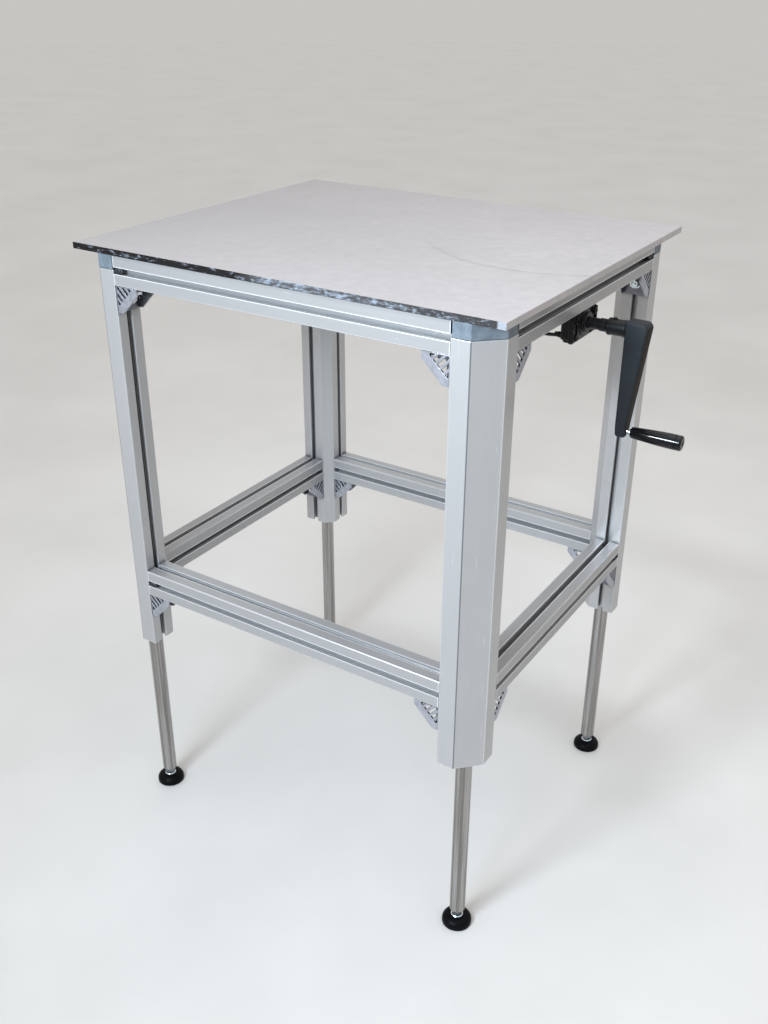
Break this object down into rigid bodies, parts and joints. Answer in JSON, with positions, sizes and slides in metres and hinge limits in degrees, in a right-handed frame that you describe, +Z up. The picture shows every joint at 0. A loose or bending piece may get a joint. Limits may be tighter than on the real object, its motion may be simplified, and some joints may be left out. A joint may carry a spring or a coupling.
{
  "type": "height-adjustable table frame",
  "caption": "Crank-driven height-adjustable table: T-slot aluminium frame with telescoping hydraulic legs, levelling feet, plain worktop and a side crank.",
  "frame": {"origin": "centre of the whole object's base, on the floor", "axes": "+Z up, front towards -Y, crank on the +X side"},
  "size_m": [0.8566, 0.6014, 1.0218],
  "materials": {
    "worktop_plate": "satin plate with sawn edges",
    "profile_aluminium": "clear anodised, satin",
    "cap_plastic": "satin",
    "die_cast_aluminium": "die cast, tumbled",
    "black_metal": "satin",
    "charcoal_metal": "fine textured",
    "grip_plastic": "polished",
    "zinc_steel": "bright zinc plated",
    "rod_steel": "ground",
    "barrel_steel": "drawn",
    "pad_plastic": "moulded",
    "hose_rubber": "smooth"
  },
  "bodies": {
    "frame": {"worktop": "worktop_plate", "post_front_left": "profile_aluminium", "cap_front_left": "cap_plastic", "post_front_right": "profile_aluminium", "cap_front_right": "cap_plastic", "post_back_right": "profile_aluminium", "cap_back_right": "cap_plastic", "post_back_left": "profile_aluminium", "cap_back_left": "cap_plastic", "beam_upper_front": "profile_aluminium", "beam_upper_back": "profile_aluminium", "beam_upper_left": "profile_aluminium", "beam_upper_right": "profile_aluminium", "beam_lower_front": "profile_aluminium", "beam_lower_back": "profile_aluminium", "beam_lower_left": "profile_aluminium", "beam_lower_right": "profile_aluminium", "gusset_upper_front_left_x": "die_cast_aluminium", "gusset_upper_front_left_y": "die_cast_aluminium", "gusset_upper_front_right_x": "die_cast_aluminium", "gusset_upper_front_right_y": "die_cast_aluminium", "gusset_upper_back_right_x": "die_cast_aluminium", "gusset_upper_back_right_y": "die_cast_aluminium", "gusset_upper_back_left_x": "die_cast_aluminium", "gusset_upper_back_left_y": "die_cast_aluminium", "gusset_lower_front_left_x": "die_cast_aluminium", "gusset_lower_front_left_y": "die_cast_aluminium", "gusset_lower_front_right_x": "die_cast_aluminium", "gusset_lower_front_right_y": "die_cast_aluminium", "gusset_lower_back_right_x": "die_cast_aluminium", "gusset_lower_back_right_y": "die_cast_aluminium", "gusset_lower_back_left_x": "die_cast_aluminium", "gusset_lower_back_left_y": "die_cast_aluminium", "pump_flange": "black_metal", "pump_body": "black_metal", "barrel_front_left": "barrel_steel", "barrel_front_right": "barrel_steel", "barrel_back_right": "barrel_steel", "barrel_back_left": "barrel_steel", "hose_front_left": "hose_rubber", "hose_front_right": "hose_rubber", "hose_back_right": "hose_rubber", "hose_back_left": "hose_rubber"},
    "crank": {"crank_shaft": "black_metal", "crank_arm": "charcoal_metal", "grip_pin": "zinc_steel"},
    "handle_grip": {"grip": "grip_plastic"},
    "leg_front_left": {"rod_front_left": "rod_steel"},
    "pad_front_left": {"foot_pad_front_left": "pad_plastic"},
    "stud_front_left": {"foot_stud_front_left": "zinc_steel"},
    "leg_front_right": {"rod_front_right": "rod_steel"},
    "pad_front_right": {"foot_pad_front_right": "pad_plastic"},
    "stud_front_right": {"foot_stud_front_right": "zinc_steel"},
    "leg_back_right": {"rod_back_right": "rod_steel"},
    "pad_back_right": {"foot_pad_back_right": "pad_plastic"},
    "stud_back_right": {"foot_stud_back_right": "zinc_steel"},
    "leg_back_left": {"rod_back_left": "rod_steel"},
    "pad_back_left": {"foot_pad_back_left": "pad_plastic"},
    "stud_back_left": {"foot_stud_back_left": "zinc_steel"}
  },
  "joints": [
    {"name": "crank_turn", "type": "hinge", "parent": "frame", "child": "crank", "pos_m": [0.2717, -0.02525, 0.9495], "axis": [1, 0, 0], "range_deg": [0, 17820]},
    {"name": "grip_spin", "type": "hinge", "parent": "crank", "child": "handle_grip", "pos_m": [0.3543, -0.02525, 0.8035], "axis": [1, 0, 0], "continuous": true},
    {"name": "leg_slide_front_left", "type": "slide", "parent": "frame", "child": "leg_front_left", "axis": [0, 0, 1], "range_m": [0, 0.3]},
    {"name": "foot_extend_front_left", "type": "slide", "parent": "leg_front_left", "child": "pad_front_left", "axis": [0, 0, -1], "range_m": [0, 0.015]},
    {"name": "foot_screw_front_left", "type": "hinge", "parent": "pad_front_left", "child": "stud_front_left", "pos_m": [-0.3838, -0.26725, 0.025], "axis": [0, 0, -1], "range_deg": [0, 3085.71]},
    {"name": "leg_slide_front_right", "type": "slide", "parent": "frame", "child": "leg_front_right", "axis": [0, 0, 1], "range_m": [0, 0.3]},
    {"name": "foot_extend_front_right", "type": "slide", "parent": "leg_front_right", "child": "pad_front_right", "axis": [0, 0, -1], "range_m": [0, 0.015]},
    {"name": "foot_screw_front_right", "type": "hinge", "parent": "pad_front_right", "child": "stud_front_right", "pos_m": [0.2412, -0.26725, 0.025], "axis": [0, 0, -1], "range_deg": [0, 3085.71]},
    {"name": "leg_slide_back_right", "type": "slide", "parent": "frame", "child": "leg_back_right", "axis": [0, 0, 1], "range_m": [0, 0.3]},
    {"name": "foot_extend_back_right", "type": "slide", "parent": "leg_back_right", "child": "pad_back_right", "axis": [0, 0, -1], "range_m": [0, 0.015]},
    {"name": "foot_screw_back_right", "type": "hinge", "parent": "pad_back_right", "child": "stud_back_right", "pos_m": [0.2412, 0.25675, 0.025], "axis": [0, 0, -1], "range_deg": [0, 3085.71]},
    {"name": "leg_slide_back_left", "type": "slide", "parent": "frame", "child": "leg_back_left", "axis": [0, 0, 1], "range_m": [0, 0.3]},
    {"name": "foot_extend_back_left", "type": "slide", "parent": "leg_back_left", "child": "pad_back_left", "axis": [0, 0, -1], "range_m": [0, 0.015]},
    {"name": "foot_screw_back_left", "type": "hinge", "parent": "pad_back_left", "child": "stud_back_left", "pos_m": [-0.3838, 0.25675, 0.025], "axis": [0, 0, -1], "range_deg": [0, 3085.71]}
  ],
  "couplings": [
    {"joint": "leg_slide_front_left", "follows": "crank_turn", "m_per_rad": 0.00096457},
    {"joint": "foot_screw_front_left", "follows": "foot_extend_front_left", "rad_per_m": 3590.4},
    {"joint": "leg_slide_front_right", "follows": "crank_turn", "m_per_rad": 0.00096457},
    {"joint": "foot_screw_front_right", "follows": "foot_extend_front_right", "rad_per_m": 3590.4},
    {"joint": "leg_slide_back_right", "follows": "crank_turn", "m_per_rad": 0.00096457},
    {"joint": "foot_screw_back_right", "follows": "foot_extend_back_right", "rad_per_m": 3590.4},
    {"joint": "leg_slide_back_left", "follows": "crank_turn", "m_per_rad": 0.00096457},
    {"joint": "foot_screw_back_left", "follows": "foot_extend_back_left", "rad_per_m": 3590.4}
  ]
}
